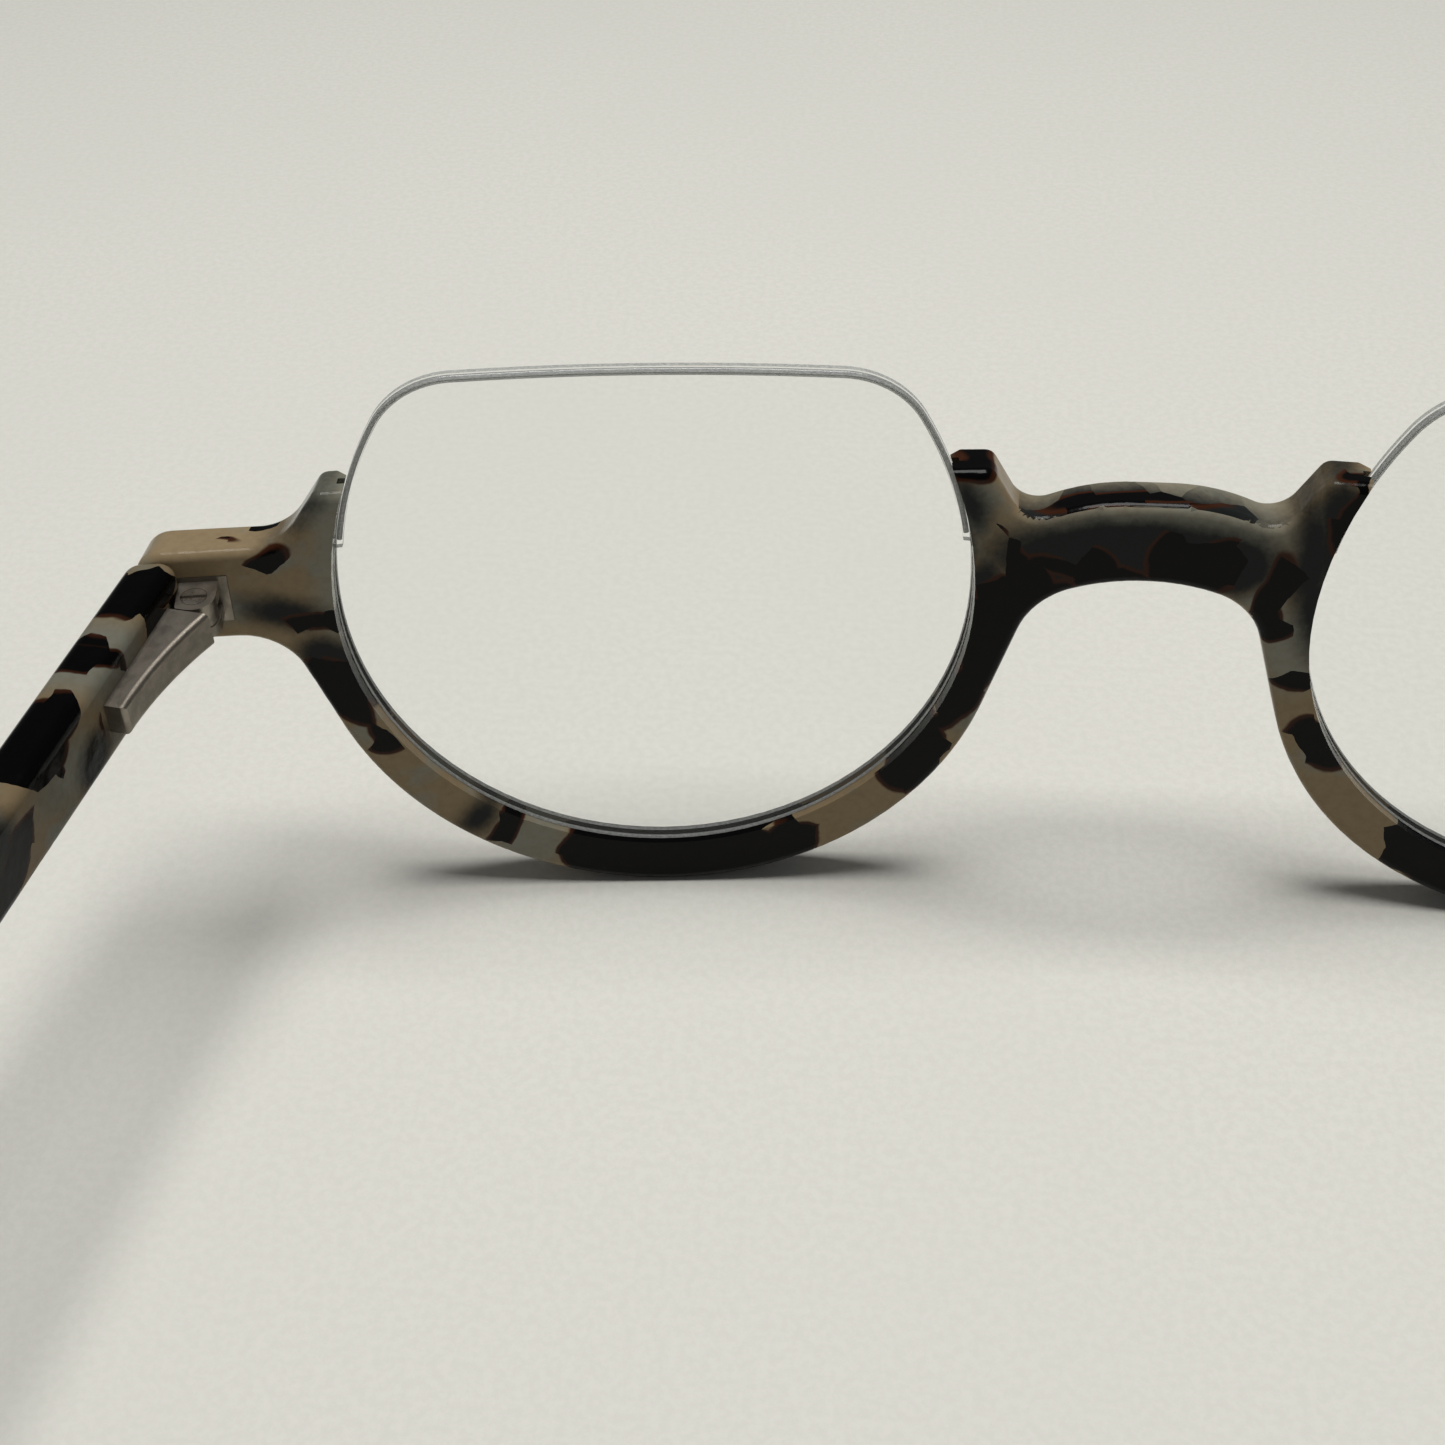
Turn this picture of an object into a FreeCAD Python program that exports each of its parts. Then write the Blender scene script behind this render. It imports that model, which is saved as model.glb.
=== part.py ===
import FreeCAD, Part
import math
import os

# Half rim eyeglasses, millimetres.
# Design frame: X to the wearer's left, Y from the front towards the wearer, Z up.
# Z = 0 is the lens centre line and Y = 0 the back of the front at the lens centres.
# Each side is built for the wearer's left and mirrored for the right.

# ---------------------------------------------------------------- driving sizes
LENS_SPACING = 69.0        # between the two lens centres
LENS_R = 22.65             # round lower half of the lens, shoulder of the edge
LENS_SIDE_R = 28.5         # flatter sides of the upper half
LENS_TOP = 17.65           # straight top edge above the lens centre
LENS_CORNER_R = 6.5        # between the side and the top
LENS_THICK = 1.3
LENS_CURVE_R = 119.0       # middle surface of the lens
BEVEL_OUT = 0.45           # tongue round the lower edge of the lens
BEVEL_WIDE = 0.6
LENS_SEAT = 1.15           # lens edge plane in front of the front's back face
WINDOW_EASE_AT = 0.75      # the window flares outward this far ahead of the middle of the lens edge
SEAT_GAP = 0.05

FRONT_CURVE_R = 395.0      # the front is bent on this radius
FRONT_THICK = 3.5
BACK_ROUND = 0.7           # rounding round the back of the front
FACE_ROUND = 0.45          # and round its face

RIM_R = 24.95              # outer edge of the lower rim
RIM_DROP = 1.75            # its centre below the lens centre
RIM_LEAVE = 20.5           # degrees below level where the rim turns out to the end piece
ARCH_TOP = 2.12            # underside of the bridge
ARCH_CROWN_R = 16.0        # nose arch, its flatter top
ARCH_CROWN_HALF = 18.0     # degrees of that, each side of the middle
ARCH_SIDE_R = 5.6          # and its shoulders
BRIDGE_TOP = 8.55
CROWN_HALF = 4.2           # half of the level top of the bridge
CROWN_R = 14.0
DIP_IN = 2.5               # lowest corner between bridge and nasal horn, from the horn
DIP_Z = 6.65
DIP_R = 2.2
NASAL_HORN_OUT = 23.25     # horn beside the nose, its outer corner from the lens centre
NASAL_HORN_Z = 10.85
TEMPORAL_HORN_OUT = 22.9   # horn beside the temple, its outer corner from the lens centre
TEMPORAL_HORN_Z = 9.65
HORN_CORNER_R = 0.9
END_STEP_OUT = 2.9         # where the end piece's top meets the horn, from the horn
END_STEP_R = 4.0
END_TOP = 5.45
END_BOTTOM = -1.95
END_TOP_R = 2.0
END_BOTTOM_R = 1.5
END_UNDER_R = 4.6

CORD_R = 0.2
CORD_SINK = 0.22           # cord centre below the shoulder of the lens edge
CORD_START = 5.0           # where its two ends sit, above the lens centre
CORD_PAST = 0.6            # the groove runs on past the end of the cord
TONGUE_SHORT = 0.4         # and the tongue stops short of the groove
GROOVE_DEEP = 0.48
GROOVE_WIDE = 0.48

HINGE_FOOT_OUT = 5.8       # hinge on the back of the end piece, from that step
HINGE_Z = 1.65
HINGE_OUT = 1.6            # screw axis behind the back face
TEMPLE_SPLAY = 8.0         # open temples point this far outwards, degrees
TEMPLE_DROP = 4.0          # and this far down from square to the front
CLEVIS_HIGH = 2.8
LEAF_THICK = 0.84
LEAF_REACH = 1.5           # past the screw axis and on its nose side
LEAF_OUTER = 1.2           # on its temple side
LEAF_CORNER_R = 0.25
PLATE_HIGH = 3.75
PLATE_NOSE = 2.1           # plate edge towards the nose, from the screw axis
PLATE_OUTER = 1.35
PLATE_THICK = 0.8
PLATE_PROUD = 0.06
PRONG_R = 0.45
PRONG_LONG = 1.3
PRONG_HEAD_R = 0.7
PRONG_HEAD = 0.4
PRONG_RISE = 1.1           # prongs above and below the plate's middle

SCREW_R = 0.6
SCREW_HEAD_R = 0.9
SCREW_HEAD = 0.42
SCREW_SLOT = 0.28
SCREW_SLOT_DEEP = 0.22
RUN_GAP = 0.03             # running fit on the screw
SIDE_GAP = 0.04            # between eye and leaves

EYE_R = 1.42
NECK_WIDE = 1.5
NECK_END = 3.1             # along the bore from the screw axis
BORE_TILT = 7.0            # bore points this far outwards from the temple, degrees
BORE_R = 1.0
BORE_END = 9.3
MOUTH_END = 3.2
FIT_GAP = 0.05
ROD_R = 0.45
BUSH_LONG = 0.8
SPRING_LONG = 4.0
SPRING_TURNS = 8.0
SPRING_WIRE_R = 0.15
SPRING_MEAN_R = 0.72
NUT_LONG = 0.8
NUT_R = 0.85

HOUSING_START = 1.6        # along the temple from the screw axis
HOUSING_LONG = 10.0
HOUSING_HIGH = 2.8
HOUSING_HIGH_END = 2.3
HOUSING_NOSE = 1.75        # stands this far to the nose side of the screw axis
HOUSING_PROUD_END = 1.5    # what is left proud of the temple at its rear end
HOUSING_SCOOP = 0.4        # hollow along the tapered side
HOUSING_SINK = 1.25        # let into the temple
HOUSING_ROUND = 0.4

TEMPLE_INNER = 1.25        # temple's inner face, outside the screw axis
TEMPLE_THICK = 3.5
TEMPLE_THICK_END = 2.9
TEMPLE_HIGH = 6.9
TEMPLE_BEND_HIGH = 5.5
TEMPLE_TIP_HIGH = 7.2
TEMPLE_BEND_AT = 94.0
TEMPLE_BEND_R = 30.0
TEMPLE_BEND = 38.0         # degrees
TEMPLE_TIP = 26.0          # straight length after the bend
TEMPLE_CURVE_AT = 20.0
TEMPLE_CURVE_R = 2500.0    # slight inward curve seen from above
TEMPLE_ROUND = 0.9
TEMPLE_NOSE_R = 1.2        # front corners seen from above
TEMPLE_TRIM = 0.4          # cut off square to the end piece
RELIEF_R = 1.75            # hollow in the temple round the leaves, from the screw axis
RELIEF_GAP = 0.3           # above and below them
BUTT_GAP = 0.12            # temple to end piece
CORE_HALF = 0.6
CORE_START = 12.4
CORE_STOP_SHORT = 8.0      # wire ends this far before the tip
POCKET_GAP = 0.02

# ---------------------------------------------------------------- derived sizes
LENS_X = LENS_SPACING / 2
NASAL_HORN_X = LENS_X - NASAL_HORN_OUT
DIP_X = NASAL_HORN_X - DIP_IN
TEMPORAL_HORN_X = LENS_X + TEMPORAL_HORN_OUT
END_STEP_X = TEMPORAL_HORN_X + END_STEP_OUT
HINGE_FOOT_X = END_STEP_X + HINGE_FOOT_OUT
CURVE_Y = math.sqrt(FRONT_CURVE_R ** 2 - LENS_X ** 2)
WRAP = math.degrees(math.asin(LENS_X / FRONT_CURVE_R))
LENS_SPHERE_Y = math.sqrt(LENS_CURVE_R ** 2 - LENS_R ** 2)
FAR = 200.0                # longer than anything it cuts
NODES = {}


def vec(x, y, z):
    return FreeCAD.Vector(x, y, z)


def back_y(x):
    """Back face of the front at this distance from the middle."""
    return CURVE_Y - math.sqrt(FRONT_CURVE_R ** 2 - x ** 2)


def turn(degrees):
    """Unit vector in a plane at this angle."""
    return math.cos(math.radians(degrees)), math.sin(math.radians(degrees))


def in_xz(p, q):
    return vec(p, 0, q)


def in_xy(p, q):
    return vec(p, q, 0)


def in_yz(p, q):
    return vec(0, p, q)


def line(plane, start, end):
    return Part.LineSegment(plane(*start), plane(*end)).toShape()


def arc(plane, centre, radius, first, last):
    """Arc about centre between two angles in degrees."""
    points = []
    for angle in (first, (first + last) / 2, last):
        c, s = turn(angle)
        points.append(plane(centre[0] + radius * c, centre[1] + radius * s))
    return Part.Arc(*points).toShape()


def corner_arc(before, corner, after, radius):
    """Tangent arc in the corner of two runs: its start, middle and end."""
    back = (before - corner).normalize()
    ahead = (after - corner).normalize()
    half = back.getAngle(ahead) / 2
    reach = radius / math.tan(half)
    middle = (back + ahead).normalize()
    top = corner + middle * (radius / math.sin(half) - radius)
    return corner + back * reach, top, corner + ahead * reach


def rounded_path(plane, corners):
    """Edges of an open path; inner corners are (p, q, radius)."""
    points = [plane(c[0], c[1]) for c in corners]
    edges = []
    here = points[0]
    for i in range(1, len(corners) - 1):
        start, top, end = corner_arc(points[i - 1], points[i], points[i + 1], corners[i][2])
        edges.append(Part.LineSegment(here, start).toShape())
        edges.append(Part.Arc(start, top, end).toShape())
        here = end
    edges.append(Part.LineSegment(here, points[-1]).toShape())
    return edges


def face_of(edges):
    return Part.Face(Part.Wire(Part.__sortEdges__(edges)))


def prism(edges, low, high, axis):
    """Solid between two levels of a closed outline, along a unit axis."""
    face = face_of(edges)
    face.translate(axis * low)
    return face.extrude(axis * (high - low))


def box(x0, x1, y0, y1, z0, z1):
    return Part.makeBox(x1 - x0, y1 - y0, z1 - z0, vec(x0, y0, z0))


def rod(radius, start, end, plane_axis):
    """Cylinder between two levels on an axis through the origin."""
    return Part.makeCylinder(radius, end - start, plane_axis * start, plane_axis)


def placed(shape, placement):
    copy = shape.copy()
    copy.Placement = placement.multiply(copy.Placement)
    return copy


def mirrored(shape):
    return shape.mirror(vec(0, 0, 0), vec(1, 0, 0))


# ---------------------------------------------------------------- placements
def about_z(degrees):
    return FreeCAD.Placement(vec(0, 0, 0), FreeCAD.Rotation(vec(0, 0, 1), degrees))


def lens_place():
    """Local X outwards, Y to the wearer, Z up; Y = 0 is the plane of the lens edge."""
    normal = vec(-LENS_X / FRONT_CURVE_R, CURVE_Y / FRONT_CURVE_R, 0)
    origin = vec(LENS_X, 0, 0) - normal * LENS_SEAT
    return FreeCAD.Placement(origin, FreeCAD.Rotation(vec(0, 0, 1), WRAP))


def hinge_sweep():
    return math.degrees(math.asin(HINGE_FOOT_X / FRONT_CURVE_R))


def hinge_origin():
    c, s = turn(hinge_sweep())
    return vec(HINGE_FOOT_X - HINGE_OUT * s, back_y(HINGE_FOOT_X) + HINGE_OUT * c, HINGE_Z)


def hinge_place():
    """Origin on the screw axis; local Z is the screw axis."""
    return FreeCAD.Placement(hinge_origin(), FreeCAD.Rotation(vec(1, 0, 0), -TEMPLE_DROP))


def clevis_place():
    return hinge_place().multiply(about_z(hinge_sweep()))


def plate_place():
    return FreeCAD.Placement(hinge_origin(), FreeCAD.Rotation(vec(0, 0, 1), hinge_sweep()))


def temple_place():
    return hinge_place().multiply(about_z(-TEMPLE_SPLAY))


def bore_place():
    return hinge_place().multiply(about_z(-TEMPLE_SPLAY - BORE_TILT))


# ---------------------------------------------------------------- lens and cord
def lens_corner():
    """Centre of the arc between the lens side and its top, and its angle on the side arc."""
    side = LENS_SIDE_R - LENS_R
    rise = LENS_TOP - LENS_CORNER_R
    reach = math.sqrt((LENS_SIDE_R - LENS_CORNER_R) ** 2 - rise ** 2)
    return reach - side, rise, math.degrees(math.atan2(rise, reach))


def lens_outline(offset):
    """Lens outline in local X and Z, grown by offset."""
    side = LENS_SIDE_R - LENS_R
    cx, cz, split = lens_corner()
    return [
        arc(in_xz, (0, 0), LENS_R + offset, 180, 360),
        arc(in_xz, (-side, 0), LENS_SIDE_R + offset, 0, split),
        arc(in_xz, (cx, cz), LENS_CORNER_R + offset, split, 90),
        line(in_xz, (cx, LENS_TOP + offset), (-cx, LENS_TOP + offset)),
        arc(in_xz, (-cx, cz), LENS_CORNER_R + offset, 90, 180 - split),
        arc(in_xz, (side, 0), LENS_SIDE_R + offset, 180 - split, 180),
    ]


def lens_prism(offset, low, high):
    return prism(lens_outline(offset), low, high, vec(0, 1, 0))


def lens_shell(thick):
    """Round shell of this thickness on the lens's middle surface."""
    centre = vec(0, LENS_SPHERE_Y, 0)
    outer = Part.makeSphere(LENS_CURVE_R + thick / 2, centre)
    inner = Part.makeSphere(LENS_CURVE_R - thick / 2, centre)
    return outer.cut(inner)


def above(level):
    return box(-FAR, FAR, -FAR, FAR, level, FAR)


def below(level):
    return box(-FAR, FAR, -FAR, FAR, -FAR, level)


def lens_solid():
    depth = LENS_R
    body = lens_prism(0, -depth, depth).common(lens_shell(LENS_THICK))
    half = BEVEL_WIDE / 2
    ring = lens_prism(BEVEL_OUT, -half, half).cut(lens_prism(-BEVEL_OUT, -half, half))
    body = body.fuse(ring.common(below(CORD_START - CORD_PAST - TONGUE_SHORT)))
    rim = lens_prism(BEVEL_OUT, -depth, depth).cut(lens_prism(-GROOVE_DEEP, -depth, depth))
    groove = rim.common(lens_shell(GROOVE_WIDE)).common(above(CORD_START - CORD_PAST))
    return body.cut(groove)


def on_lens(x, z):
    """Point of the middle surface of the lens."""
    return vec(x, LENS_SPHERE_Y - math.sqrt(LENS_CURVE_R ** 2 - x ** 2 - z ** 2), z)


def cord_arc(centre, radius, first, last):
    points = []
    for angle in (first, (first + last) / 2, last):
        c, s = turn(angle)
        points.append(on_lens(centre[0] + radius * c, centre[1] + radius * s))
    return Part.Arc(*points).toShape()


def cord_path():
    """Over the lens from one rim end to the other, in the groove."""
    side = LENS_SIDE_R - LENS_R
    cx, cz, split = lens_corner()
    reach = LENS_SIDE_R - CORD_SINK
    foot = math.degrees(math.asin(CORD_START / reach))
    top = LENS_TOP - CORD_SINK
    corner = LENS_CORNER_R - CORD_SINK
    chord = Part.Arc(on_lens(cx, top), on_lens(0, top), on_lens(-cx, top)).toShape()
    return [
        cord_arc((-side, 0), reach, foot, split),
        cord_arc((cx, cz), corner, split, 90),
        chord,
        cord_arc((-cx, cz), corner, 90, 180 - split),
        cord_arc((side, 0), reach, 180 - split, 180 - foot),
    ]


def swept(edges, radius):
    """Round tube along a chain of edges."""
    first = edges[0]
    start = first.valueAt(first.FirstParameter)
    heading = first.tangentAt(first.FirstParameter)
    ring = Part.Wire([Part.Circle(start, heading, radius).toShape()])
    return Part.Wire(edges).makePipeShell([ring], True, True)


def cord_solid():
    return swept(cord_path(), CORD_R)


# ---------------------------------------------------------------- front
def rim_point(degrees):
    c, s = turn(degrees)
    return LENS_X + RIM_R * c, -RIM_DROP + RIM_R * s


def arch_side():
    """Centre of the shoulder of the nose arch."""
    c, s = turn(ARCH_CROWN_HALF)
    away = ARCH_CROWN_R - ARCH_SIDE_R
    return away * s, ARCH_TOP - ARCH_CROWN_R + away * c


def arch_tangent():
    """Angle of the line from the nose arch to the rim, square to both circles."""
    dx = LENS_X - arch_side()[0]
    dz = -RIM_DROP - arch_side()[1]
    spread = math.acos((ARCH_SIDE_R + RIM_R) / math.hypot(dx, dz))
    return math.degrees(math.atan2(dz, dx) + spread)


def end_piece_outer():
    """Outer side of the end piece, flush with the temple's outer face at the butt."""
    c, s = turn(TEMPLE_SPLAY)
    return hinge_origin().x + (TEMPLE_INNER + TEMPLE_THICK) * c - HINGE_OUT * s


def front_half_outline():
    leave = rim_point(-RIM_LEAVE)
    c, s = turn(RIM_LEAVE)
    under_x = leave[0] + (END_BOTTOM - leave[1]) * s / c
    outer = end_piece_outer()
    edges = rounded_path(in_xz, [
        (0, BRIDGE_TOP),
        (CROWN_HALF, BRIDGE_TOP, CROWN_R),
        (DIP_X, DIP_Z, DIP_R),
        (NASAL_HORN_X, NASAL_HORN_Z, HORN_CORNER_R),
        (TEMPORAL_HORN_X, TEMPORAL_HORN_Z, HORN_CORNER_R),
        (END_STEP_X, END_TOP, END_STEP_R),
        (outer, END_TOP, END_TOP_R),
        (outer, END_BOTTOM, END_BOTTOM_R),
        (under_x, END_BOTTOM, END_UNDER_R),
        leave,
    ])
    swing = arch_tangent()
    ac, asn = turn(swing)
    side_x, side_z = arch_side()
    crown = 90 - ARCH_CROWN_HALF
    foot = (side_x + ARCH_SIDE_R * ac, side_z + ARCH_SIDE_R * asn)
    edges.append(arc(in_xz, (LENS_X, -RIM_DROP), RIM_R, -RIM_LEAVE, swing - 180))
    edges.append(line(in_xz, rim_point(swing - 180), foot))
    edges.append(arc(in_xz, (side_x, side_z), ARCH_SIDE_R, swing, crown))
    edges.append(arc(in_xz, (0, ARCH_TOP - ARCH_CROWN_R), ARCH_CROWN_R, crown, 90))
    return edges


def curved_slab():
    """Everything between the bent back face and the bent front face."""
    base = vec(0, CURVE_Y, -FAR)
    outer = Part.makeCylinder(FRONT_CURVE_R + FRONT_THICK, 2 * FAR, base)
    inner = Part.makeCylinder(FRONT_CURVE_R, 2 * FAR, base)
    return outer.cut(inner)


def edges_on_curve(solid, radius):
    """Edges that run along a bent face of this radius."""
    found = []
    for edge in solid.Edges:
        spot = edge.valueAt((edge.FirstParameter + edge.LastParameter) / 2)
        away = math.hypot(spot.x, spot.y - CURVE_Y)
        if abs(away - radius) < 0.01 and abs(edge.tangentAt(edge.FirstParameter).y) < 0.9:
            found.append(edge)
    return found


def front_blank():
    half = front_half_outline()
    whole = half + [mirrored(edge) for edge in half]
    depth = FRONT_CURVE_R / 10
    blank = prism(whole, -depth, depth, vec(0, 1, 0)).common(curved_slab())
    blank = blank.makeFillet(BACK_ROUND, edges_on_curve(blank, FRONT_CURVE_R))
    return blank.makeFillet(FACE_ROUND, edges_on_curve(blank, FRONT_CURVE_R + FRONT_THICK))


def window_ease():
    """Flare of the window toward the outer face of the front."""
    wires = []
    for grown in (0, FRONT_THICK):
        wire = Part.Wire(lens_outline(SEAT_GAP + grown))
        wire.translate(vec(0, -WINDOW_EASE_AT - grown, 0))
        wires.append(wire)
    return Part.makeLoft(wires, True, True)


def lens_cavity():
    """Window and groove cut in the front for one lens."""
    depth = LENS_R / 2
    half = BEVEL_WIDE / 2 + SEAT_GAP
    window = lens_prism(SEAT_GAP, -depth, depth)
    groove = lens_prism(BEVEL_OUT + 2 * SEAT_GAP, -half, half)
    return placed(window.fuse(groove).fuse(window_ease()), lens_place())


def front_solid():
    cavity = lens_cavity()
    pocket = placed(plate_solid(POCKET_GAP), plate_place())
    solid = front_blank()
    for cut in (cavity, mirrored(cavity), pocket, mirrored(pocket)):
        solid = solid.cut(cut)
    return solid


# ---------------------------------------------------------------- hinge, front side
def plate_solid(grow):
    """Plate and its two headed prongs, let into the end piece."""
    face = -HINGE_OUT + PLATE_PROUD
    root = face - PLATE_THICK
    half = PLATE_HIGH / 2
    solid = box(-PLATE_NOSE - grow, PLATE_OUTER + grow, root - grow, face, -half - grow, half + grow)
    for rise in (-PRONG_RISE, PRONG_RISE):
        tip = root - PRONG_LONG
        stem = Part.makeCylinder(PRONG_R + grow, PRONG_LONG, vec(0, root, rise), vec(0, -1, 0))
        head_at = vec(0, tip + PRONG_HEAD, rise)
        head = Part.makeCylinder(PRONG_HEAD_R + grow, PRONG_HEAD + grow, head_at, vec(0, -1, 0))
        solid = solid.fuse(stem).fuse(head)
    return solid


def leaf_outline():
    """Round towards the fold, flat where the open temple stops."""
    lean = hinge_sweep() + TEMPLE_SPLAY
    c, s = turn(lean)
    stop = (LEAF_REACH * s, LEAF_REACH * c)
    slide = (LEAF_OUTER - stop[0]) / c
    corner = (LEAF_OUTER, stop[1] - slide * s)
    root = -HINGE_OUT - PLATE_THICK / 2
    edges = [arc(in_xy, (0, 0), LEAF_REACH, 180, 90 - lean)]
    edges += rounded_path(in_xy, [
        stop,
        (corner[0], corner[1], LEAF_CORNER_R),
        (LEAF_OUTER, root),
    ])
    edges.append(line(in_xy, (LEAF_OUTER, root), (-LEAF_REACH, root)))
    edges.append(line(in_xy, (-LEAF_REACH, root), (-LEAF_REACH, 0)))
    return edges


def clevis_solid():
    half = CLEVIS_HIGH / 2
    up = vec(0, 0, 1)
    top = prism(leaf_outline(), half - LEAF_THICK, half, up)
    bottom = prism(leaf_outline(), -half, -half + LEAF_THICK, up)
    top = top.cut(rod(SCREW_R + RUN_GAP, 0, CLEVIS_HIGH, up))
    top = top.cut(rod(SCREW_HEAD_R + RUN_GAP, half - SCREW_HEAD, CLEVIS_HIGH, up))
    bottom = bottom.cut(rod(SCREW_R, -CLEVIS_HIGH, 0, up))
    return top, bottom


def hinge_front_solid():
    plate = placed(plate_solid(0), plate_place())
    for leaf in clevis_solid():
        plate = plate.fuse(placed(leaf, clevis_place()))
    return plate.removeSplitter()


def screw_solid():
    half = CLEVIS_HIGH / 2
    up = vec(0, 0, 1)
    solid = rod(SCREW_R, -half, half - SCREW_HEAD, up)
    solid = solid.fuse(rod(SCREW_HEAD_R, half - SCREW_HEAD, half, up))
    slot = box(-SCREW_HEAD_R, SCREW_HEAD_R, -SCREW_SLOT / 2, SCREW_SLOT / 2, half - SCREW_SLOT_DEEP, half + 1)
    return placed(solid.cut(slot).removeSplitter(), clevis_place())


# ---------------------------------------------------------------- spring slide
def eye_half():
    """Half the thickness of the eye between the leaves."""
    return CLEVIS_HIGH / 2 - LEAF_THICK - SIDE_GAP


def slider_solid():
    up = vec(0, 0, 1)
    along = vec(0, 1, 0)
    half = eye_half()
    rod_end = MOUTH_END + BUSH_LONG + SPRING_LONG + NUT_LONG
    solid = rod(EYE_R, -half, half, up)
    solid = solid.fuse(box(-NECK_WIDE / 2, NECK_WIDE / 2, 0, NECK_END, -half, half))
    solid = solid.fuse(rod(ROD_R, NECK_END, rod_end, along))
    solid = solid.cut(rod(SCREW_R + RUN_GAP, -CLEVIS_HIGH, CLEVIS_HIGH, up))
    return placed(solid.removeSplitter(), bore_place())


def bush_solid():
    along = vec(0, 1, 0)
    ring = rod(BORE_R, MOUTH_END, MOUTH_END + BUSH_LONG, along)
    hole = rod(ROD_R + FIT_GAP, MOUTH_END, MOUTH_END + BUSH_LONG, along)
    return placed(ring.cut(hole), bore_place())


def nut_solid():
    along = vec(0, 1, 0)
    start = MOUTH_END + BUSH_LONG + SPRING_LONG
    ring = rod(NUT_R, start, start + NUT_LONG, along)
    return placed(ring.cut(rod(ROD_R, start, start + NUT_LONG, along)), bore_place())


def spring_solid():
    """Coil between the bush and the rod's nut."""
    long = SPRING_LONG - 2 * SPRING_WIRE_R - 2 * FIT_GAP
    helix = Part.makeHelix(long / SPRING_TURNS, long, SPRING_MEAN_R)
    start = helix.Edges[0].valueAt(helix.Edges[0].FirstParameter)
    heading = helix.Edges[0].tangentAt(helix.Edges[0].FirstParameter)
    ring = Part.Wire([Part.Circle(start, heading, SPRING_WIRE_R).toShape()])
    coil = Part.Wire(helix.Edges).makePipeShell([ring], True, True)
    lay = FreeCAD.Placement(vec(0, 0, 0), FreeCAD.Rotation(vec(1, 0, 0), -90))
    coil = placed(coil, lay)
    coil.translate(vec(0, MOUTH_END + BUSH_LONG + SPRING_WIRE_R + FIT_GAP, 0))
    return placed(coil, bore_place())


# ---------------------------------------------------------------- housing
def housing_blank(grow):
    """Tapered box with a hollowed nose side, half let into the temple."""
    start = HOUSING_START
    end = HOUSING_START + HOUSING_LONG
    sunk = TEMPLE_INNER + HOUSING_SINK + grow
    nose = -HOUSING_NOSE
    tail = TEMPLE_INNER - HOUSING_PROUD_END
    slope_x = (tail - nose) / HOUSING_LONG
    normal = vec(1, -slope_x, 0).normalize()
    bulge = vec((nose + tail) / 2, (start + end) / 2, 0) + normal * HOUSING_SCOOP
    plan = [
        line(in_xy, (nose, start), (sunk, start)),
        line(in_xy, (sunk, start), (sunk, end + grow)),
        line(in_xy, (sunk, end + grow), (tail, end + grow)),
        Part.Arc(vec(tail, end + grow, 0), bulge, vec(nose, start, 0)).toShape(),
    ]
    high = HOUSING_HIGH / 2 + grow
    high_end = HOUSING_HIGH_END / 2 + grow
    side = [
        line(in_yz, (start, -high), (end + grow, -high_end)),
        line(in_yz, (end + grow, -high_end), (end + grow, high_end)),
        line(in_yz, (end + grow, high_end), (start, high)),
        line(in_yz, (start, high), (start, -high)),
    ]
    return prism(plan, -high, high, vec(0, 0, 1)).common(prism(side, nose, sunk, vec(1, 0, 0)))


def proud_edges(solid):
    """Outer edges of the housing that stand clear of the temple."""
    found = []
    for edge in solid.Edges:
        spot = edge.valueAt((edge.FirstParameter + edge.LastParameter) / 2)
        if spot.x < TEMPLE_INNER - HOUSING_PROUD_END / 2 and edge.Length > HOUSING_HIGH_END / 2:
            found.append(edge)
    return found


def housing_solid():
    blank = housing_blank(0)
    long_edges = []
    for edge in proud_edges(blank):
        spot = edge.valueAt((edge.FirstParameter + edge.LastParameter) / 2)
        if spot.y > HOUSING_START + HOUSING_ROUND:
            long_edges.append(edge)
    blank = placed(blank.makeFillet(HOUSING_ROUND, long_edges), temple_place())
    along = vec(0, 1, 0)
    half = eye_half() + FIT_GAP
    wide = NECK_WIDE / 2 + FIT_GAP
    bore = rod(BORE_R, MOUTH_END, BORE_END, along)
    mouth = box(-wide, wide, 0, MOUTH_END, -half, half)
    return blank.cut(placed(bore.fuse(mouth), bore_place()))


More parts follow.
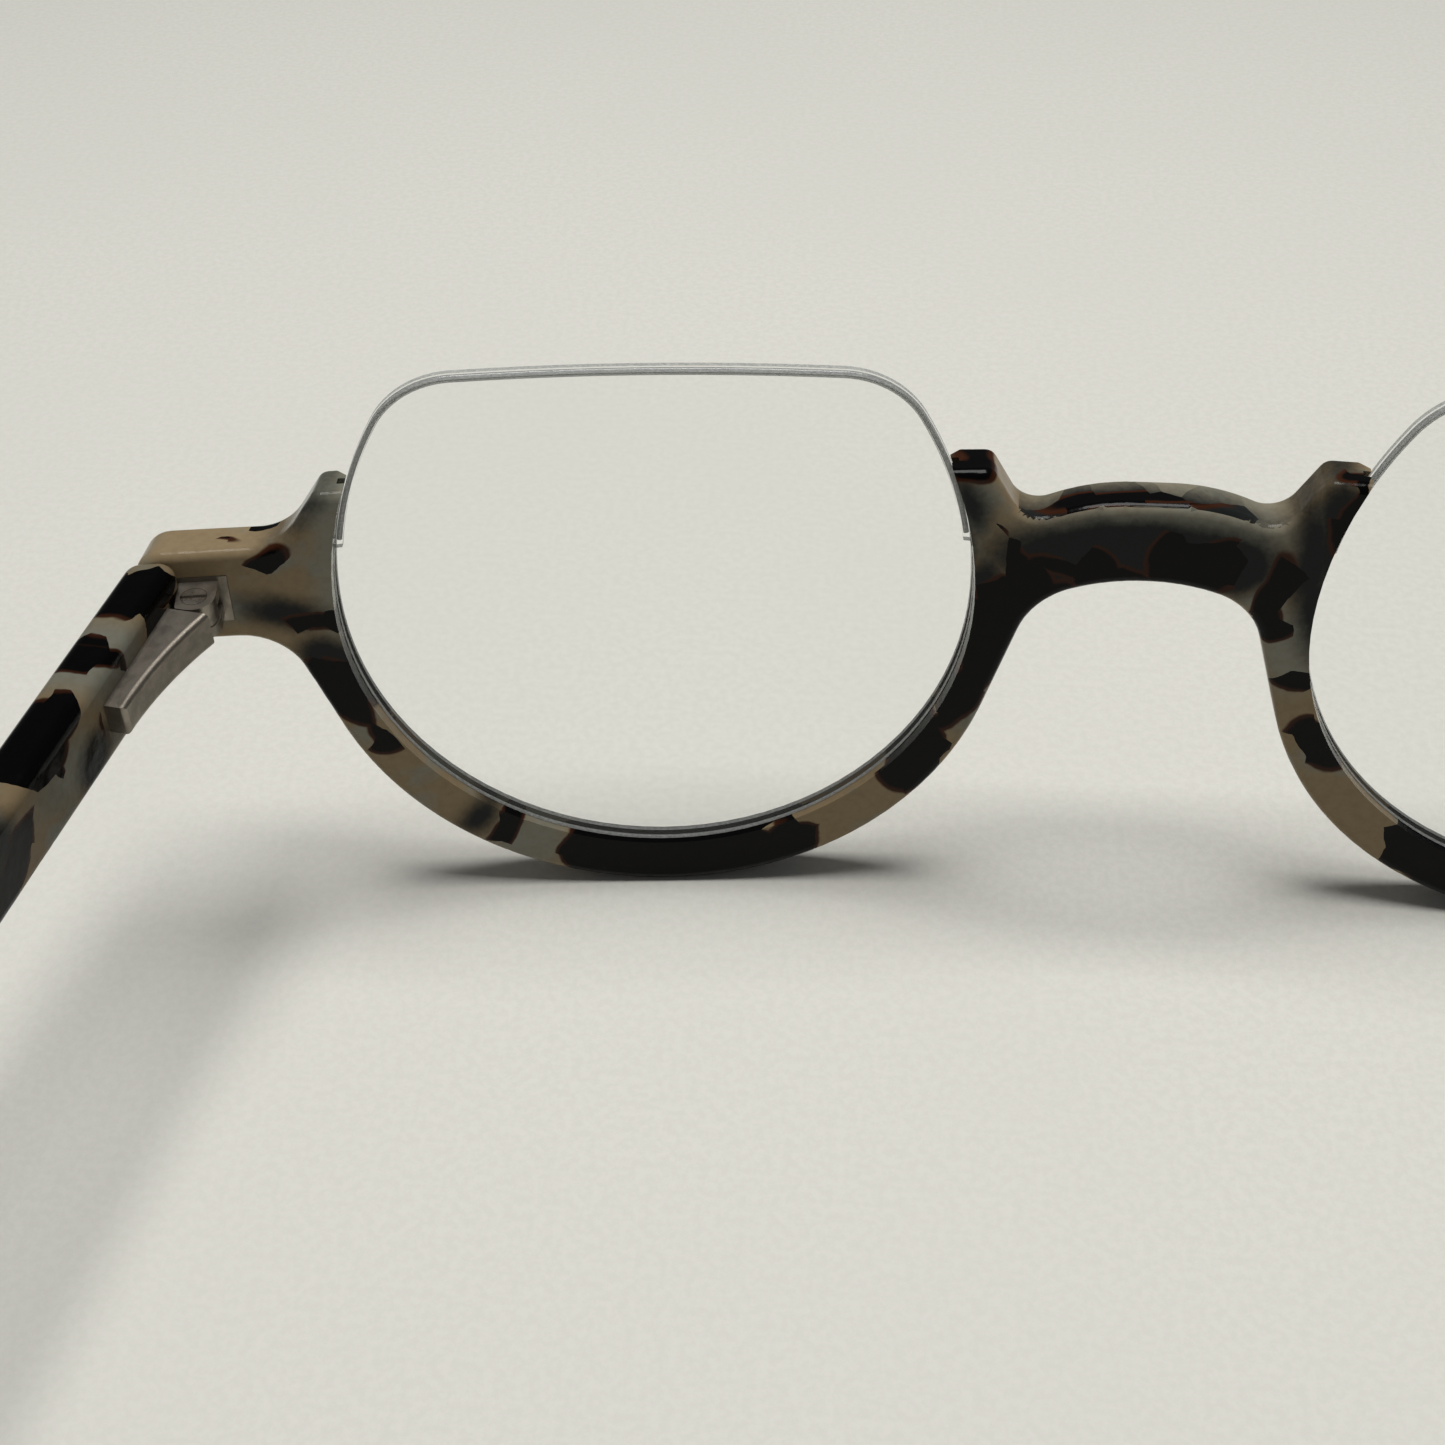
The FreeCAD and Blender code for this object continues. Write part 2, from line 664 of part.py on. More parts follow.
# ---------------------------------------------------------------- temple
def temple_side(high, bend_high, tip_high, start, short):
    """Side view outline along the temple, with the drop behind the ear."""
    low = -TEMPLE_BEND_R
    lean = 90 - TEMPLE_BEND
    c, s = turn(-TEMPLE_BEND)
    rise = (-s, c)
    tip = TEMPLE_TIP - short
    centre = (TEMPLE_BEND_AT, low)
    ec, es = turn(lean)
    bend_end = (TEMPLE_BEND_AT + TEMPLE_BEND_R * ec, low + TEMPLE_BEND_R * es)
    end = (bend_end[0] + tip * c, bend_end[1] + tip * s)
    top_end = (end[0] + tip_high / 2 * rise[0], end[1] + tip_high / 2 * rise[1])
    low_end = (end[0] - tip_high / 2 * rise[0], end[1] - tip_high / 2 * rise[1])
    nose = (end[0] + tip_high / 2 * c, end[1] + tip_high / 2 * s)
    outer = TEMPLE_BEND_R + bend_high / 2
    inner = TEMPLE_BEND_R - bend_high / 2
    outer_end = (centre[0] + outer * ec, centre[1] + outer * es)
    inner_end = (centre[0] + inner * ec, centre[1] + inner * es)
    return [
        line(in_yz, (start, high / 2), (TEMPLE_BEND_AT, bend_high / 2)),
        arc(in_yz, centre, outer, 90, lean),
        line(in_yz, outer_end, top_end),
        Part.Arc(in_yz(*top_end), in_yz(*nose), in_yz(*low_end)).toShape(),
        line(in_yz, low_end, inner_end),
        arc(in_yz, centre, inner, lean, 90),
        line(in_yz, (TEMPLE_BEND_AT, -bend_high / 2), (start, -high / 2)),
        line(in_yz, (start, -high / 2), (start, high / 2)),
    ]


def temple_plan(inner, thick, thick_end, starts, corner):
    """Top view outline: straight, then a slight inward curve."""
    reach = TEMPLE_BEND_AT + TEMPLE_BEND_R + TEMPLE_TIP + TEMPLE_TIP_HIGH
    run = reach - TEMPLE_CURVE_AT
    sag = run ** 2 / (2 * TEMPLE_CURVE_R)
    middle = TEMPLE_CURVE_AT + run / 2
    outer = inner + thick
    tail = inner - sag
    halfway = inner - sag / 4
    mean = (thick + thick_end) / 2
    inner_curve = Part.Arc(vec(inner, TEMPLE_CURVE_AT, 0), vec(halfway, middle, 0), vec(tail, reach, 0))
    end_outer = vec(tail + thick_end, reach, 0)
    outer_curve = Part.Arc(end_outer, vec(halfway + mean, middle, 0), vec(outer, TEMPLE_CURVE_AT, 0))
    edges = rounded_path(in_xy, [
        (outer, TEMPLE_CURVE_AT),
        (outer, starts[1], corner),
        (inner, starts[0], corner),
        (inner, TEMPLE_CURVE_AT),
    ])
    edges.append(inner_curve.toShape())
    edges.append(line(in_xy, (tail, reach), (tail + thick_end, reach)))
    edges.append(outer_curve.toShape())
    return edges


def butt_level(across):
    """Where the temple, this far outside the screw axis, meets the end piece."""
    c, s = turn(hinge_sweep() + TEMPLE_SPLAY)
    along = (across - HINGE_OUT * s) / c
    return along * s - HINGE_OUT * c


def temple_bar(side, plan):
    tall = FAR
    wide = prism(side, -FAR / 4, FAR / 4, vec(1, 0, 0))
    return prism(plan, -tall, tall, vec(0, 0, 1)).common(wide)


def long_edges(solid, start):
    """Edges that run along the bar, not across it."""
    found = []
    for edge in solid.Edges:
        middle = (edge.FirstParameter + edge.LastParameter) / 2
        if abs(edge.tangentAt(middle).x) < 0.5 and edge.valueAt(middle).y > start + 0.1:
            found.append(edge)
    return found


def core_solid(grow):
    size = 2 * (CORE_HALF + grow)
    start = CORE_START - grow
    side = temple_side(size, size, size, start, CORE_STOP_SHORT - grow)
    thin = (TEMPLE_THICK - TEMPLE_THICK_END) / 2
    inner = TEMPLE_INNER + (TEMPLE_THICK - size) / 2
    plan = temple_plan(inner - thin / 2, size + thin / 2, size, (start, start), CORE_HALF / 2)
    return temple_bar(side, plan)


def leaf_relief():
    """Hollow that lets the temple fold and slide past the leaves."""
    half = CLEVIS_HIGH / 2 + RELIEF_GAP
    up = vec(0, 0, 1)
    ahead = box(0, RELIEF_R, -2 * RELIEF_R, 0, -half, half)
    return rod(RELIEF_R, -half, half, up).fuse(ahead)


def temple_solid():
    outer = TEMPLE_INNER + TEMPLE_THICK
    start = butt_level(TEMPLE_INNER) - TEMPLE_HIGH
    side = temple_side(TEMPLE_HIGH, TEMPLE_BEND_HIGH, TEMPLE_TIP_HIGH, start, 0)
    starts = (butt_level(TEMPLE_INNER) - TEMPLE_TRIM, butt_level(outer) - TEMPLE_TRIM)
    plan = temple_plan(TEMPLE_INNER, TEMPLE_THICK, TEMPLE_THICK_END, starts, TEMPLE_NOSE_R)
    bar = temple_bar(side, plan)
    bar = bar.makeFillet(TEMPLE_ROUND, long_edges(bar, start))
    bar = bar.cut(housing_blank(POCKET_GAP)).cut(core_solid(POCKET_GAP))
    bar = bar.cut(leaf_relief())
    bar = placed(bar, temple_place())
    reach = FRONT_CURVE_R - BUTT_GAP
    return bar.common(Part.makeCylinder(reach, 2 * FAR, vec(0, CURVE_Y, -FAR)))


def in_temple(shape):
    return placed(shape, temple_place())


# ---------------------------------------------------------------- assembly
def build():
    """Every node in the design frame."""
    NODES["frame_front"] = front_solid()
    left = {
        "lens": placed(lens_solid(), lens_place()),
        "nylon_cord": placed(cord_solid(), lens_place()),
        "hinge_front": hinge_front_solid(),
        "hinge_screw": screw_solid(),
        "spring_slider": slider_solid(),
        "slider_nut": nut_solid(),
        "hinge_spring": spring_solid(),
        "stop_bush": bush_solid(),
        "spring_housing": housing_solid(),
        "temple": temple_solid(),
        "core_wire": in_temple(core_solid(0)),
    }
    for name, shape in left.items():
        NODES[name + "_left"] = shape
        NODES[name + "_right"] = mirrored(shape)


def lowest(name, tilt):
    turned = NODES[name].copy()
    turned.rotate(vec(0, 0, 0), vec(1, 0, 0), tilt)
    return turned.optimalBoundingBox(False).ZMin


def rest_tilt():
    """Turn about X that brings rims and temple tips down to one level."""
    tilt = 0.0
    arm = TEMPLE_BEND_AT + TEMPLE_BEND_R
    for _ in range(4):
        gap = lowest("frame_front", tilt) - lowest("temple_left", tilt)
        tilt += math.degrees(math.atan(gap / arm))
    return tilt


def stand(tilt):
    """Stand the glasses on Z = 0, centred on the origin."""
    for shape in NODES.values():
        shape.rotate(vec(0, 0, 0), vec(1, 0, 0), tilt)
    bounds = Part.makeCompound(list(NODES.values())).optimalBoundingBox(False)
    shift = vec(0, -(bounds.YMin + bounds.YMax) / 2, -bounds.ZMin)
    for shape in NODES.values():
        shape.translate(shift)
    return shift, bounds


def report(tilt, shift, bounds):
    """Print the places that the record states."""
    rest = FreeCAD.Placement(shift, FreeCAD.Rotation(vec(1, 0, 0), tilt))
    hinge = rest.multiply(hinge_place())
    bore = rest.multiply(bore_place())
    print("tilt", round(tilt, 4), "shift", shift, "size", bounds.XLength, bounds.YLength, bounds.ZLength)
    print("hinge axis at", hinge.Base, "along", hinge.Rotation.multVec(vec(0, 0, 1)))
    print("slide along", bore.Rotation.multVec(vec(0, 1, 0)))
    print("lens centre", rest.multVec(lens_place().Base))


def main():
    build()
    tilt = rest_tilt()
    shift, bounds = stand(tilt)
    report(tilt, shift, bounds)
    os.makedirs("parts", exist_ok=True)
    for name, shape in NODES.items():
        shape.exportStep("parts/" + name + ".step")


main()
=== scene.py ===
"""Half rim eyeglasses: finishes, floor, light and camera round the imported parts."""
import math

import bpy
from mathutils import Matrix, Vector


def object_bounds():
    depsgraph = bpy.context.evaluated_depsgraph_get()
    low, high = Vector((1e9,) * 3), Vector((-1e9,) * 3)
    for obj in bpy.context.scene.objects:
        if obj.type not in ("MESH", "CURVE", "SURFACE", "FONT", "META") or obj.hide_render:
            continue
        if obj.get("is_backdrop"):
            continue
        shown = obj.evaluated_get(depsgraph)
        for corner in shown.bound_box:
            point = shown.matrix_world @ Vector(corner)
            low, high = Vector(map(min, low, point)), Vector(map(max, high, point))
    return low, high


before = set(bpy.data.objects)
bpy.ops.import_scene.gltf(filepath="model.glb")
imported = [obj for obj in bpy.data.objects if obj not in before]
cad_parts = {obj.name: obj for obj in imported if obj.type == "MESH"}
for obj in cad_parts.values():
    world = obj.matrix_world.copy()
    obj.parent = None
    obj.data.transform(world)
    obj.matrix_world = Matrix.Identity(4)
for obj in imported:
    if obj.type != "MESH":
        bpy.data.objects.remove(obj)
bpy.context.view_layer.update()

SIDES = ("left", "right")

# Camera, in metres: where it stands, and its own right and up directions.
CAMERA_AT = (0.019168, 0.045054, 0.113342)
CAMERA_RIGHT = (-0.996543, -0.081864, -0.014129)
CAMERA_UP = (0.042808, -0.651786, 0.757194)
SENSOR = 36.0
FOCAL = 2000 / 1445          # of the frame's width

# Softbox over the front, in metres and watts, and the light of the room.
LAMP_X = 0.02
LAMP_BEHIND = -0.03          # from the front edge of the object
LAMP_HIGH = 0.60
LAMP_SIZE = (0.33, 0.30)
LAMP_POWER = 4.0
LAMP_COLOUR = (1.0, 0.995, 0.975)
ROOM_COLOUR = (0.97, 0.98, 1.0, 1)
ROOM_LIGHT = 0.13
FLOOR_REACH = 1.6


# ------------------------------------------------------------------ camera
def add_camera():
    data = bpy.data.cameras.new("camera")
    data.sensor_width = SENSOR
    data.lens = SENSOR * FOCAL
    data.clip_start = 0.01
    data.clip_end = 10.0
    cam = bpy.data.objects.new("camera", data)
    right = Vector(CAMERA_RIGHT)
    up = Vector(CAMERA_UP)
    back = right.cross(up)
    turn = Matrix((right, up, back)).transposed().to_4x4()
    cam.matrix_world = Matrix.Translation(CAMERA_AT) @ turn
    bpy.context.scene.collection.objects.link(cam)
    bpy.context.scene.camera = cam


# ------------------------------------------------------------------ node helpers
def shade(colour, light=1.0):
    """The colour, lighter or darker, with an alpha of 1."""
    return tuple(c * light for c in colour[:3]) + (1,)


class Shader:
    """Builds one node material."""

    def __init__(self, name):
        self.mat = bpy.data.materials.new(name)
        self.mat.use_nodes = True
        self.tree = self.mat.node_tree
        self.tree.nodes.clear()
        self.out = self.add("ShaderNodeOutputMaterial")

    def add(self, kind, **settings):
        node = self.tree.nodes.new(kind)
        for key, value in settings.items():
            setattr(node, key, value)
        return node

    def link(self, source, target):
        if isinstance(source, (int, float, tuple, list, Vector)):
            target.default_value = source
        else:
            self.tree.links.new(source, target)

    def math(self, operation, a, b=0.0, c=0.0, clamp=False):
        node = self.add("ShaderNodeMath", operation=operation, use_clamp=clamp)
        for socket, value in zip(node.inputs, (a, b, c)):
            self.link(value, socket)
        return node.outputs[0]

    def vector(self, operation, a, b=(0, 0, 0)):
        node = self.add("ShaderNodeVectorMath", operation=operation)
        self.link(a, node.inputs[0])
        if operation == "SCALE":
            self.link(b, node.inputs["Scale"])
        else:
            self.link(b, node.inputs[1])
        return node.outputs["Value" if operation in ("LENGTH", "DOT_PRODUCT") else "Vector"]

    def mm(self):
        """Place on the part, in millimetres."""
        place = self.add("ShaderNodeTexCoord").outputs["Object"]
        return self.vector("SCALE", place, 1000.0)

    def split(self, vector):
        return self.add_linked("ShaderNodeSeparateXYZ", vector).outputs

    def add_linked(self, kind, *values, **settings):
        node = self.add(kind, **settings)
        for socket, value in zip(node.inputs, values):
            self.link(value, socket)
        return node

    def join(self, x, y, z):
        return self.add_linked("ShaderNodeCombineXYZ", x, y, z).outputs[0]

    def noise(self, vector, scale, detail=3.0, rough=0.5, distort=0.0, colour=False):
        node = self.add("ShaderNodeTexNoise")
        self.link(vector, node.inputs["Vector"])
        values = {"Scale": scale, "Detail": detail, "Roughness": rough, "Distortion": distort}
        for key, value in values.items():
            node.inputs[key].default_value = value
        return node.outputs["Color" if colour else "Fac"]

    def spread(self, value, low, high, to_low=0.0, to_high=1.0, smooth=True):
        node = self.add("ShaderNodeMapRange", interpolation_type="SMOOTHSTEP" if smooth else "LINEAR")
        for socket, v in zip(node.inputs, (value, low, high, to_low, to_high)):
            self.link(v, socket)
        return node.outputs[0]

    def mix(self, factor, a, b):
        node = self.add("ShaderNodeMix", data_type="RGBA")
        self.link(factor, node.inputs[0])
        self.link(a, node.inputs[6])
        self.link(b, node.inputs[7])
        return node.outputs[2]

    def wobble(self, vector, *steps):
        """Shifts the place by noise: each step is (millimetres, scale)."""
        for size, scale in steps:
            push = self.vector("SUBTRACT", self.noise(vector, scale, 1.0, colour=True), (0.5, 0.5, 0.5))
            vector = self.vector("ADD", vector, self.vector("SCALE", push, 2 * size))
        return vector

    def flakes(self, vector, scale, share):
        """Pulls the place toward the middle of its cell, which gives marks straight sides and corners."""
        node = self.add("ShaderNodeTexVoronoi")
        self.link(vector, node.inputs["Vector"])
        node.inputs["Scale"].default_value = scale
        pull = self.vector("SUBTRACT", node.outputs["Position"], vector)
        return self.vector("ADD", vector, self.vector("SCALE", pull, share))

    def bump(self, height, strength, distance=0.0002, after=None):
        node = self.add("ShaderNodeBump")
        node.inputs["Strength"].default_value = strength
        node.inputs["Distance"].default_value = distance
        self.link(height, node.inputs["Height"])
        if after is not None:
            self.link(after, node.inputs["Normal"])
        return node.outputs[0]

    def principled(self, **inputs):
        node = self.add("ShaderNodeBsdfPrincipled")
        for key, value in inputs.items():
            self.link(value, node.inputs[key.replace("_", " ")])
        return node

    def finish(self, shader):
        self.tree.links.new(shader, self.out.inputs["Surface"])
        return self.mat


def ellipse_depth(sh, vector, spot):
    """How far inside one ellipse the place lies, in millimetres. spot: (u, v, half, half, degrees)."""
    u, v, a, b, degrees = spot
    node = sh.add("ShaderNodeMapping", vector_type="TEXTURE")
    sh.link(vector, node.inputs["Vector"])
    node.inputs["Location"].default_value = (u, v, 0)
    node.inputs["Rotation"].default_value = (0, 0, math.radians(degrees))
    node.inputs["Scale"].default_value = (a, b, 1)
    return sh.math("MULTIPLY_ADD", sh.vector("LENGTH", node.outputs[0]), -min(a, b), min(a, b))


def deepest(sh, vector, spots):
    found = None
    for spot in spots:
        depth = ellipse_depth(sh, vector, spot)
        found = depth if found is None else sh.math("MAXIMUM", found, depth)
    return found


# ------------------------------------------------------------------ acetate
# Each mark: middle and two half sizes in millimetres, and the turn of the first half size in degrees.
# On the front they are placed by X and Z. The OUTER ones show on both sides.
OUTER_SHARP = [
    (61.6, 31.6, 1.4, 0.6, -40),
    (58.5, 26.1, 2.6, 0.95, 5),
    (57.2, 19.4, 3.6, 2.3, 65),
    (55.2, 15.4, 1.8, 1.3, 55),
    (46.9, 5.9, 1.9, 0.75, -57),
    (39.8, 3.2, 3.2, 2.6, 13),
    (34.2, 2.6, 7.0, 3.0, -2),
    (27.6, 3.0, 3.8, 2.6, -20),
    (23.9, 4.6, 2.6, 2.2, -33),
]
OUTER_SMOKE = [
    (60.5, 27.1, 2.3, 1.0, 12),
    (58.4, 35.0, 1.0, 0.2, -42),
    (58.0, 22.6, 2.2, 1.7, 60),
    (48.6, 7.4, 1.5, 0.9, -57),
]
OUTER_GREY = [
    (56.2, 36.0, 2.2, 2.2, 0),
    (56.2, 31.5, 1.2, 4.0, 0),
    (56.5, 28.0, 1.2, 3.0, 0),
    (45.0, 4.6, 2.4, 2.0, -20),
]
NOSE_SHARP = [
    (14.9, 13.3, 4.0, 2.3, -62),
    (10.6, 22.2, 3.6, 1.9, -72),
    (10.6, 25.7, 4.0, 2.2, 86),
    (8.3, 29.2, 2.8, 1.5, 66),
    (7.7, 26.2, 3.4, 1.6, -60),
    (10.1, 33.7, 1.2, 0.6, 56),
    (13.0, 37.4, 1.3, 0.6, 10),
    (4.2, 29.9, 1.9, 1.7, -25),
    (1.6, 29.3, 2.1, 1.5, 9),
    (-2.8, 30.7, 3.0, 2.4, 4),
    (-4.6, 32.2, 1.6, 1.2, -48),
    (-0.3, 28.4, 5.2, 1.2, -4),
    (-9.0, 28.1, 4.2, 1.15, -80),
    (-9.4, 26.2, 1.9, 1.3, -83),
    (-12.5, 35.0, 2.8, 1.3, -76),
    (-11.5, 21.0, 1.9, 0.75, 8),
    (-13.9, 15.6, 3.1, 1.7, 60),
    (-22.8, 6.2, 2.6, 2.2, 27),
    (13.6, 31.0, 5.5, 0.8, 84),
    (12.2, 18.6, 2.8, 1.6, -75),
    (6.2, 30.2, 1.8, 0.8, 20),
]
NOSE_SMOKE = [
    (1.0, 30.9, 9.5, 3.0, 0),
    (13.4, 29.5, 8.0, 1.3, 84),
    (-12.6, 33.0, 5.0, 1.6, 84),
    (11.9, 28.0, 2.6, 1.2, -65),
    (12.9, 30.5, 1.9, 0.6, 73),
    (12.6, 34.9, 1.8, 0.7, 66),
    (-5.8, 30.6, 2.4, 2.3, 0),
    (-10.9, 31.4, 4.4, 1.0, 84),
    (-11.8, 27.5, 3.0, 1.0, 80),
]
NOSE_GREY = [
    (-1.0, 33.0, 8.0, 2.2, 0),
    (-11.0, 24.0, 2.0, 3.0, 0),
    (11.0, 17.5, 2.0, 2.0, 0),
]
# Marks that lie in the top face, placed by X and Y.
TOP_SMOKE = [
    (1.0, -70.0, 9.0, 1.6, 0),
    (12.6, -69.5, 1.2, 1.6, 0),
    (-12.6, -69.5, 1.2, 1.6, 0),
]
TOP_SHARP = [
    (1.6, -70.3, 6.2, 0.95, 0),
    (-5.9, -68.8, 1.3, 0.45, -20),
    (64.3, -65.4, 1.5, 0.3, -8),
    (-12.4, -71.0, 0.9, 0.5, 20),
]
# On the temples they are placed by Y and Z.
TEMPLE_SHARP = [
    (-59.0, 32.8, 3.6, 1.3, 27),
    (-58.6, 30.6, 2.1, 1.3, 30),
    (-52.6, 32.4, 1.6, 0.8, 60),
    (-51.0, 33.5, 2.2, 0.18, 35),
    (-53.9, 31.0, 1.2, 0.6, 77),
    (-46.0, 32.4, 2.4, 1.7, 15),
    (-43.0, 32.2, 3.4, 1.6, 29),
    (-44.5, 30.4, 1.6, 0.8, 80),
    (-49.4, 27.9, 1.4, 0.6, 70),
    (-37.6, 27.2, 3.8, 1.9, -34),
    (-34.5, 33.6, 2.4, 1.2, 20),
    (-41.0, 35.4, 0.6, 0.3, 0),
]
TEMPLE_SMOKE = [
    (-48.2, 27.0, 1.8, 1.5, -20),
    (-47.3, 34.3, 1.6, 0.9, 16),
    (-36.0, 29.0, 2.6, 1.8, -34),
    (-57.0, 34.2, 2.0, 0.8, 27),
]
TEMPLE_GREY = [
    (-53.0, 31.8, 3.0, 2.4, 20),
    (-45.0, 28.6, 3.0, 1.6, 10),
]

CREAM = (0.215, 0.160, 0.092)
GREY = (0.190, 0.186, 0.148)
SMOKE = (0.010, 0.0115, 0.0115)
BROWN = (0.032, 0.010, 0.004)
BLACK = (0.0012, 0.0011, 0.0011)


def acetate(name, marks, free_zone, seed, light=1.0):
    """Polished tortoise acetate. marks(sh, place) gives the three depths; free_zone is where it runs free."""
    cream, pale, smoky, brown, black = (shade(colour, light) for colour in (CREAM, GREY, SMOKE, BROWN, BLACK))
    sh = Shader(name)
    place = sh.mm()
    sharp, smoke, grey = marks(sh, place)

    # random marks where nothing is placed
    shifted = sh.vector("ADD", place, (seed * 31.0, seed * 17.0, seed * 7.0))
    stretched = sh.vector("MULTIPLY", sh.wobble(shifted, (1.2, 0.25)), (1.0, 0.62, 1.0))
    field = sh.noise(stretched, 0.115, 2.0, 0.35, 0.6)
    loose = sh.spread(field, 0.40, 0.64, -2.4, 2.4, smooth=False)
    zone = free_zone(sh, place)
    loose = sh.math("ADD", loose, sh.math("MULTIPLY", sh.math("SUBTRACT", zone, 1.0), 6.0))
    sharp = sh.math("MAXIMUM", sharp, loose)
    haze = sh.noise(stretched, 0.16, 1.0, 0.3)
    smoke = sh.math("MAXIMUM", smoke, sh.math("SUBTRACT", loose, sh.spread(haze, 0.45, 0.6, 2.2, -1.0)))

    tone = sh.noise(sh.wobble(place, (0.6, 0.5)), 0.2, 3.0, 0.55)
    greyness = sh.math("MAXIMUM", sh.spread(tone, 0.50, 0.66), sh.spread(grey, -1.6, 0.8))
    base = sh.mix(greyness, cream, pale)
    fine = sh.noise(place, 1.6, 4.0, 0.6)
    base = sh.mix(sh.spread(fine, 0.35, 0.75, 0.0, 0.3), base, shade(cream, 0.62))
    ragged = sh.math("MULTIPLY_ADD", sh.noise(place, 2.2, 3.0, 0.6), 0.5, -0.25)
    smoke = sh.math("ADD", smoke, ragged)
    colour = sh.mix(sh.spread(smoke, -1.3, 0.5), base, smoky)
    rim = sh.spread(sharp, -0.10, 0.0)
    colour = sh.mix(rim, colour, brown)
    colour = sh.mix(sh.spread(sharp, 0.02, 0.14), colour, black)

    hazy = sh.noise(place, 0.5, 3.0, 0.6)
    scuff = sh.noise(sh.vector("MULTIPLY", place, (1.0, 6.0, 2.5)), 3.0, 2.0, 0.7)
    rough = sh.math("ADD", sh.spread(hazy, 0.3, 0.7, 0.10, 0.18), sh.spread(scuff, 0.62, 0.8, 0.0, 0.08))
    normal = sh.bump(sh.noise(place, 0.9, 2.0, 0.4), 0.10, 0.0003)
    normal = sh.bump(scuff, 0.05, 0.00003, normal)
    shader = sh.principled(Base_Color=colour, Roughness=rough, Normal=normal)
    shader.inputs["IOR"].default_value = 1.48
    shader.inputs["Specular IOR Level"].default_value = 0.1
    return sh.finish(shader.outputs[0])


def front_marks(sh, place):
    soft = sh.wobble(place, (0.45, 0.3), (0.12, 1.1))
    x, y, z = sh.split(soft)
    hazy = sh.join(x, z, 0.0)
    hazy_both = sh.join(sh.math("ABSOLUTE", x), z, 0.0)
    x, y, z = sh.split(sh.flakes(soft, 0.30, 0.42))
    there = sh.join(x, z, 0.0)
    both = sh.join(sh.math("ABSOLUTE", x), z, 0.0)
    flat = sh.join(x, y, 0.0)
    normal = sh.add("ShaderNodeNewGeometry").outputs["True Normal"]
    level = sh.spread(sh.split(normal)[2], 0.55, 0.8)
    sunk = sh.math("MULTIPLY", sh.math("SUBTRACT", level, 1.0), 9.0)
    top = sh.math("ADD", deepest(sh, flat, TOP_SHARP), sunk)
    top_smoke = sh.math("ADD", deepest(sh, flat, TOP_SMOKE), sunk)
    sharp = sh.math("MAXIMUM", deepest(sh, there, NOSE_SHARP), deepest(sh, both, OUTER_SHARP))
    smoke = sh.math("MAXIMUM", deepest(sh, hazy, NOSE_SMOKE), deepest(sh, hazy_both, OUTER_SMOKE))
    smoke = sh.math("MAXIMUM", smoke, top_smoke)
    grey = sh.math("MAXIMUM", deepest(sh, hazy, NOSE_GREY), deepest(sh, hazy_both, OUTER_GREY))
    return sh.math("MAXIMUM", sharp, top), smoke, grey


def temple_marks(shift):
    def marks(sh, place):
        soft = sh.wobble(place, (0.45, 0.3), (0.12, 1.1))
        x, y, z = sh.split(soft)
        hazy = sh.join(sh.math("ADD", y, shift), z, 0.0)
        x, y, z = sh.split(sh.flakes(soft, 0.30, 0.42))
        side = sh.join(sh.math("ADD", y, shift), z, 0.0)
        sharp = deepest(sh, side, TEMPLE_SHARP)
        smoke = deepest(sh, hazy, TEMPLE_SMOKE)
        return sharp, smoke, deepest(sh, hazy, TEMPLE_GREY)
    return marks


def nowhere(sh, place):
    return 0.0


def behind(level):
    def zone(sh, place):
        return sh.spread(sh.split(place)[1], level, level + 3.0)
    return zone


# ------------------------------------------------------------------ other finishes
def satin_metal(name, colour, rough, grain=1.0):
    sh = Shader(name)
    place = sh.mm()
    patches = sh.noise(place, 0.9, 4.0, 0.6)
    speck = sh.noise(place, 14.0, 3.0, 0.65)
    fine = sh.noise(place, 38.0, 2.0, 0.6)
    dark = shade(colour, 0.72)
    tint = sh.mix(sh.spread(patches, 0.3, 0.72), shade(colour), dark)
    tint = sh.mix(sh.spread(speck, 0.56, 0.78, 0.0, 0.35), tint, shade(colour, 0.5))
    dull = sh.spread(patches, 0.3, 0.7, rough - 0.05, rough + 0.07)
    roughness = sh.math("ADD", dull, sh.spread(fine, 0.3, 0.7, -0.03, 0.03))
    normal = sh.bump(speck, 0.22 * grain, 0.00004)
    normal = sh.bump(fine, 0.18 * grain, 0.00002, normal)
    shader = sh.principled(Base_Color=tint, Roughness=roughness, Normal=normal)
    shader.inputs["Metallic"].default_value = 1.0
    return sh.finish(shader.outputs[0])


